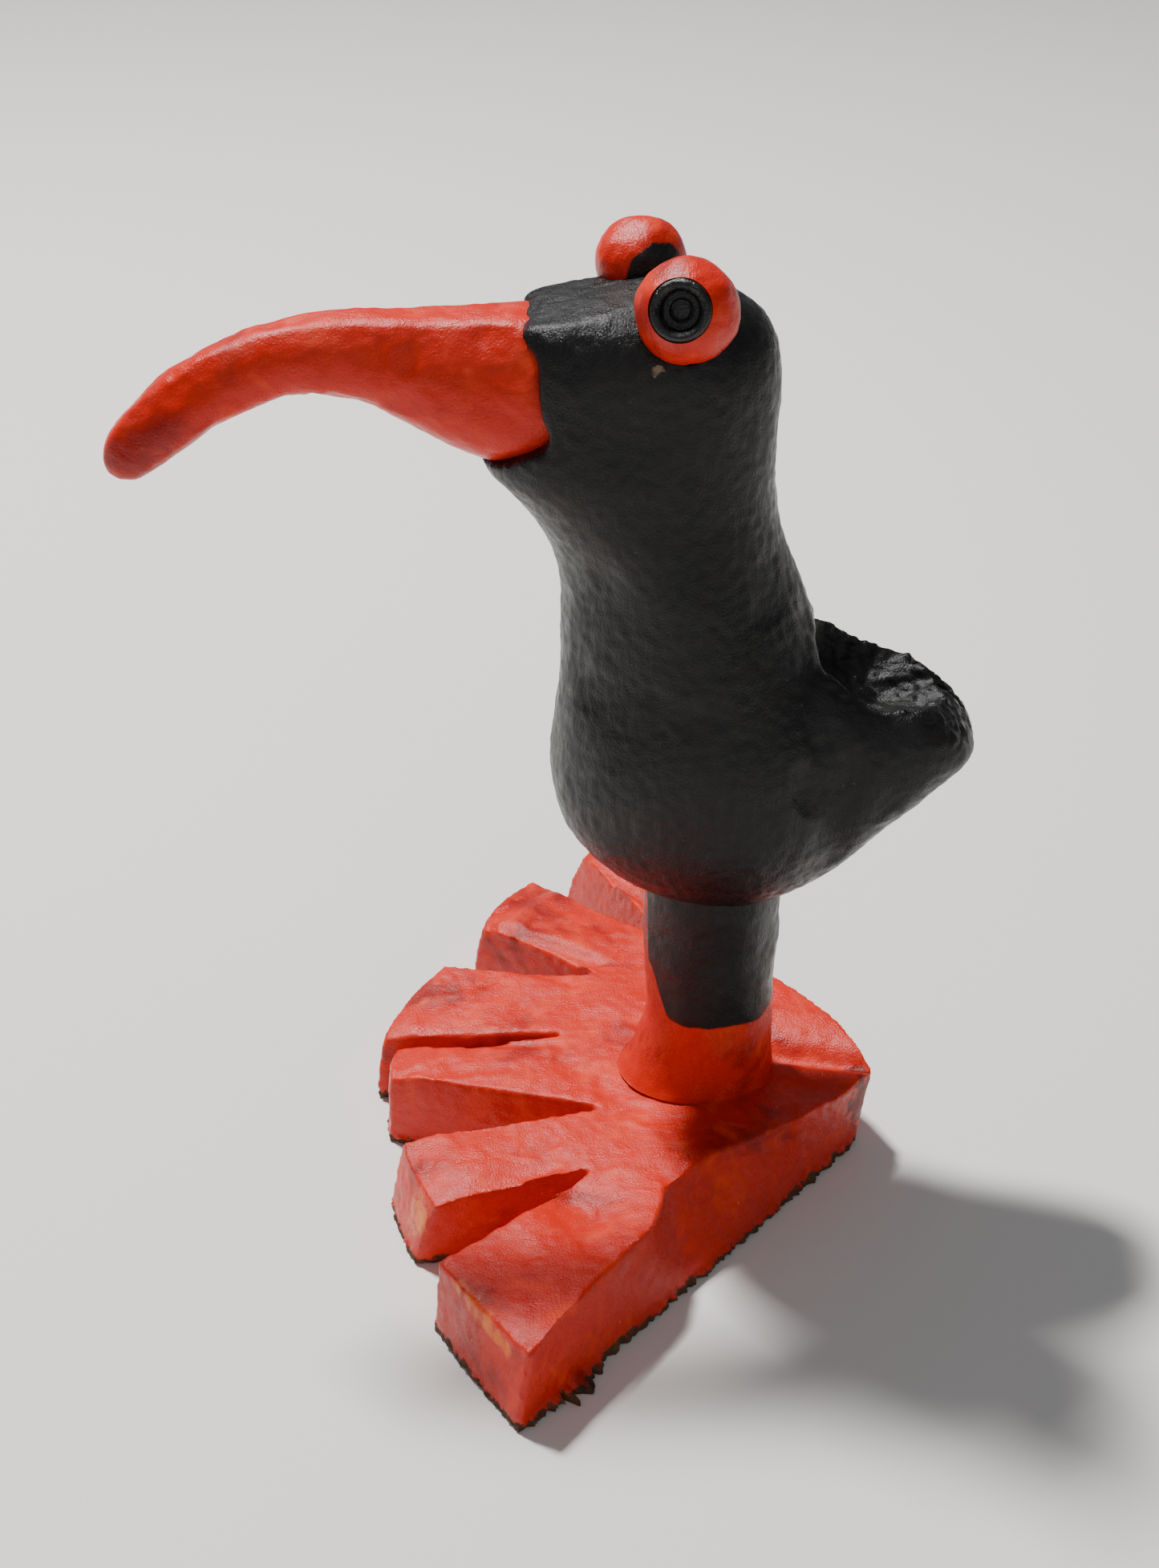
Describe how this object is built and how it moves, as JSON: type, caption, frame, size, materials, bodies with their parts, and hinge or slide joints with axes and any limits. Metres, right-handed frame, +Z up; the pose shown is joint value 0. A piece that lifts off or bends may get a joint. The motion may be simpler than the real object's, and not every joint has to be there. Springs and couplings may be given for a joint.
{
  "type": "carved alebrije bird figure",
  "caption": "Small carved and painted wooden bird with a long down-curved beak, ball eyes, a cupped tail, a round leg post and a fan-shaped toed foot.",
  "frame": {"origin": "on the axis of the leg, at the flat underside of the foot", "axes": "+Z up; -Y the way the bird faces; +X to the bird's left"},
  "size_m": [0.1259, 0.109, 0.1333],
  "materials": {
    "black_paint": "satin black acrylic brushed over carved soft wood",
    "red_paint": "vermilion acrylic brushed over carved soft wood, half gloss",
    "leg_paint": "satin black acrylic above, vermilion acrylic near the foot",
    "pupil_black": "glossy black",
    "pin_metal": "small pin painted over in black"
  },
  "bodies": {
    "root": {"body": "black_paint", "beak": "red_paint", "left_eye_ball": "red_paint", "right_eye_ball": "red_paint", "left_pupil_ring": "pupil_black", "right_pupil_ring": "pupil_black", "left_eye_pin": "pin_metal", "right_eye_pin": "pin_metal", "leg": "leg_paint", "foot": "red_paint"}
  },
  "joints": []
}
